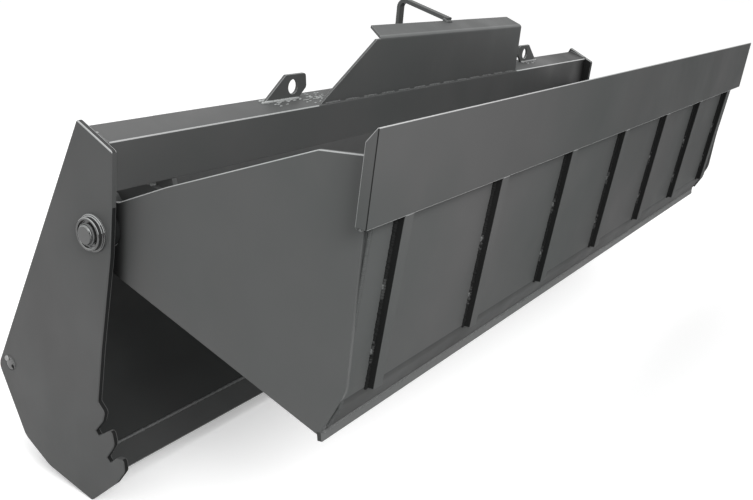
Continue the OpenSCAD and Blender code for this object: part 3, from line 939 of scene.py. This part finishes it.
sideWeldLook = {
    "at": 1251,
    "out": 1,
    "ends": ((-589, -12), (-535, -420)),
}


def weldSides(look):
    top, foot = [Vector(end) for end in look["ends"]]
    line = [top] + beside(clamFloorLook["outside"], -look["out"])[1:-1] + [foot]
    return [seam(line, side * look["at"]) for side in sides]


barWeldLooks = {
    # parts: shares of a bar's length that are laid; gap: from the bar's flank
    # The flank beads are painted shade along each root, the stitches a lighter painted shade, the dots
    # painted highlights
    "bar_welds": {"parts": [(0.0, 0.99)], "gap": 1, "width": 11, "coat": deepShadePaint},
    "bar_stitches": {"parts": [(0.36, 0.46), (0.72, 0.83)], "gap": 2, "width": 10, "coat": halfShadePaint},
    "bar_dots": {"parts": [(0.395, 0.405), (0.765, 0.775)], "gap": 5, "width": 7, "coat": weldPaint},
}


def weldBars(bars, look):
    paths = []
    top, foot = Vector(bars["top"]), Vector(bars["foot"])
    for i in range(bars["count"]):
        for side in sides:
            x = barMiddle(bars, i) + side * (bars["width"] / 2 + look["gap"])
            paths += [seam([top + (foot - top) * share for share in part], x) for part in look["parts"]]
    return paths


# Spatter round the lifting eyes, the guard's foot and the beam's left end
spatterLook = {
    "seed": 5,
    "patches": [
        # middle x and y, reach along x and y, dots
        (-560, 66, 62, 18, 44),
        (-680, 70, 60, 10, 20),
        (-1279, 66, 3, 26, 4),
        (800, 70, 60, 10, 16),
    ],
    "beamSpan": (38, 98),
    "proud": 0.4,
    "width": 2.8,
}


def spatterDots(look):
    dice = random.Random(look["seed"])
    front, back = look["beamSpan"]
    paths = []
    for x, y, reachX, reachY, count in look["patches"]:
        for i in range(count):
            sx, sy = x + dice.gauss(0, reachX * 0.5), y + dice.gauss(0, reachY * 0.5)
            sy = min(max(sy, front), back)
            paths.append(across(sx, sx + 1, (sy, onBeam(sy) + look["proud"])))
    return paths


# The lug welds and the spatter dots are drawn in the highlight paint, as painted highlights
layWelds("lug_welds", weldLugs(lugWeldLook), "rear_section", coat=highlightPaint)
layWelds("spatter", spatterDots(spatterLook), "rear_section", coat=highlightPaint, width=spatterLook["width"])
layWelds("beam_welds", weldTopBeam(beamWeldLook), "rear_section")
layWelds("hoop_welds", weldHoop(hoopWeldLook), "rear_section", width=hoopWeldLook["width"])
layWelds("pivot_welds", weldPivots(pivotWeldLook), "rear_section", width=pivotWeldLook["width"])
layWelds("scoop_welds", weldScoop(scoopWeldLook), "rear_section")
layWelds("skid_welds", weldUnder(skidWeldLook), "rear_section")
layWelds("clam_welds", weldClam(clamWeldLook), "clam")
layWelds("side_welds", weldSides(sideWeldLook), "clam", smoothLook, edgePaint)
for name, look in barWeldLooks.items():
    layWelds(name, weldBars(barLook, look), "clam", coat=look["coat"], width=look["width"])
print("welds laid")

# Grease nipples on the lever hubs, in the highlight paint. On each base pin, a small screw head in the
# highlight paint is a painted highlight, and a dark disc beside it is painted shade. A profile's points
# are a radius and a height along the axis
nippleLook = {
    "at": (1136, 60, -111.5),
    "profile": [(6.5, -2), (6.5, 4), (4, 4.5), (4, 8), (5, 9), (5.2, 11), (3.6, 13), (1.2, 13.8)],
}
screwLook = {
    "at": (1300, 381, -590),
    "profile": [(7, -1), (7, 2.6), (6, 4), (1.5, 4.4)],
}
pinShadeLook = {
    "at": (1300, 361, -605),
    "profile": [(6, -1), (6, 0.8), (5, 1)],
}


def turned(name, look, side, axis, material, body, steps=20):
    x, y, z = look["at"]
    spot = place(side * x, y, z)
    turn = Vector((0, 0, 1)).rotation_difference(Vector(axis)).to_matrix()
    angles = [2 * math.pi * i / steps for i in range(steps)]
    work = bmesh.new()
    rings = []
    for radius, up in look["profile"]:
        around = [Vector((radius * math.cos(a), radius * math.sin(a), up)) / 1000 for a in angles]
        rings.append([work.verts.new(spot + turn @ step) for step in around])
    for low, high in zip(rings, rings[1:]):
        for i in range(steps):
            j = (i + 1) % steps
            work.faces.new((low[i], low[j], high[j], high[i]))
    work.faces.new(rings[0][::-1])
    work.faces.new(rings[-1])
    mesh = bpy.data.meshes.new(name)
    work.to_mesh(mesh)
    work.free()
    mesh.materials.append(material)
    mesh.shade_smooth()
    mesh.set_sharp_from_angle(angle=math.radians(40))
    obj = bpy.data.objects.new(name, mesh)
    bpy.context.collection.objects.link(obj)
    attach(obj, body)


for side, word in zip(sides, ("left", "right")):
    turned("hub_nipple_" + word, nippleLook, side, (0, 0, 1), highlightPaint, "clam")
    turned("keeper_screw_" + word, screwLook, side, (side, 0, 0), highlightPaint, "rear_section")
    turned("pin_shade_disc_" + word, pinShadeLook, side, (side, 0, 0), deepShadePaint, "rear_section")
print("small parts made")

# Floor and light
stageLook = {
    "reach": 30,
    "seen": 0.98,       # what the camera and reflections see
    "glow": 0.32,
    "bounced": 0.28,    # what lights the object from below
}
lightLook = {
    "sky": 0.72,
    "lamps": [
        # name, place, aim, size, watts
        ("top", (-0.8, 0.2, 4.2), (0, -0.1, 0.4), 2.6, 60),
        ("left", (-4.2, -0.9, 2.2), (-1.2, 0, 0.3), 1.6, 10),
        ("front", (-2.2, -2.5, 1.7), (-0.9, -0.6, 0.5), 0.9, 30),
    ],
}


def shownRays(tree):
    path = addNode(tree, "ShaderNodeLightPath")
    glossy = addNode(tree, "ShaderNodeMath", operation="MAXIMUM")
    both = addNode(tree, "ShaderNodeMath", operation="MAXIMUM")
    wire(tree, path, "Is Camera Ray", glossy, 0)
    wire(tree, path, "Is Glossy Ray", glossy, 1)
    wire(tree, glossy, 0, both, 0)
    wire(tree, path, "Is Transmission Ray", both, 1)
    return both


def makeStage(look):
    low = cadBox[0][2]
    reach = look["reach"]
    mesh = bpy.data.meshes.new("floor")
    corners = [(-reach, -reach, low), (reach, -reach, low), (reach, reach, low), (-reach, reach, low)]
    mesh.from_pydata(corners, [], [(0, 1, 2, 3)])
    floor = bpy.data.objects.new("floor", mesh)
    bpy.context.collection.objects.link(floor)
    material = bpy.data.materials.new("floorPale")
    material.use_nodes = True
    tree = material.node_tree
    tree.nodes.clear()
    end = addNode(tree, "ShaderNodeOutputMaterial")
    seen = addNode(tree, "ShaderNodeBsdfDiffuse", Color=(*[look["seen"]] * 3, 1))
    bounced = addNode(tree, "ShaderNodeBsdfDiffuse", Color=(*[look["bounced"]] * 3, 1))
    pale = addNode(tree, "ShaderNodeEmission", Strength=look["glow"])
    both = addNode(tree, "ShaderNodeAddShader")
    mix = addNode(tree, "ShaderNodeMixShader")
    wire(tree, seen, 0, both, 0)
    wire(tree, pale, 0, both, 1)
    wire(tree, shownRays(tree), 0, mix, 0)
    wire(tree, bounced, 0, mix, 1)
    wire(tree, both, 0, mix, 2)
    wire(tree, mix, 0, end, "Surface")
    mesh.materials.append(material)


def makeLight(look):
    world = bpy.data.worlds.new("studio")
    bpy.context.scene.world = world
    world.use_nodes = True
    tree = world.node_tree
    tree.nodes.clear()
    end = addNode(tree, "ShaderNodeOutputWorld")
    seen = addNode(tree, "ShaderNodeBackground", Color=(1, 1, 1, 1), Strength=1.0)
    sky = addNode(tree, "ShaderNodeBackground", Color=(1, 1, 1, 1), Strength=look["sky"])
    mix = addNode(tree, "ShaderNodeMixShader")
    wire(tree, shownRays(tree), 0, mix, 0)
    wire(tree, sky, 0, mix, 1)
    wire(tree, seen, 0, mix, 2)
    wire(tree, mix, 0, end, "Surface")
    for name, spot, aim, size, watts in look["lamps"]:
        data = bpy.data.lights.new(name, "AREA")
        data.size = size
        data.energy = watts
        lamp = bpy.data.objects.new(name, data)
        bpy.context.collection.objects.link(lamp)
        lamp.location = spot
        lamp.rotation_euler = (Vector(aim) - Vector(spot)).to_track_quat("-Z", "Y").to_euler()


makeStage(stageLook)
makeLight(lightLook)
bpy.context.scene.view_settings.view_transform = "Standard"
print("stage lit")
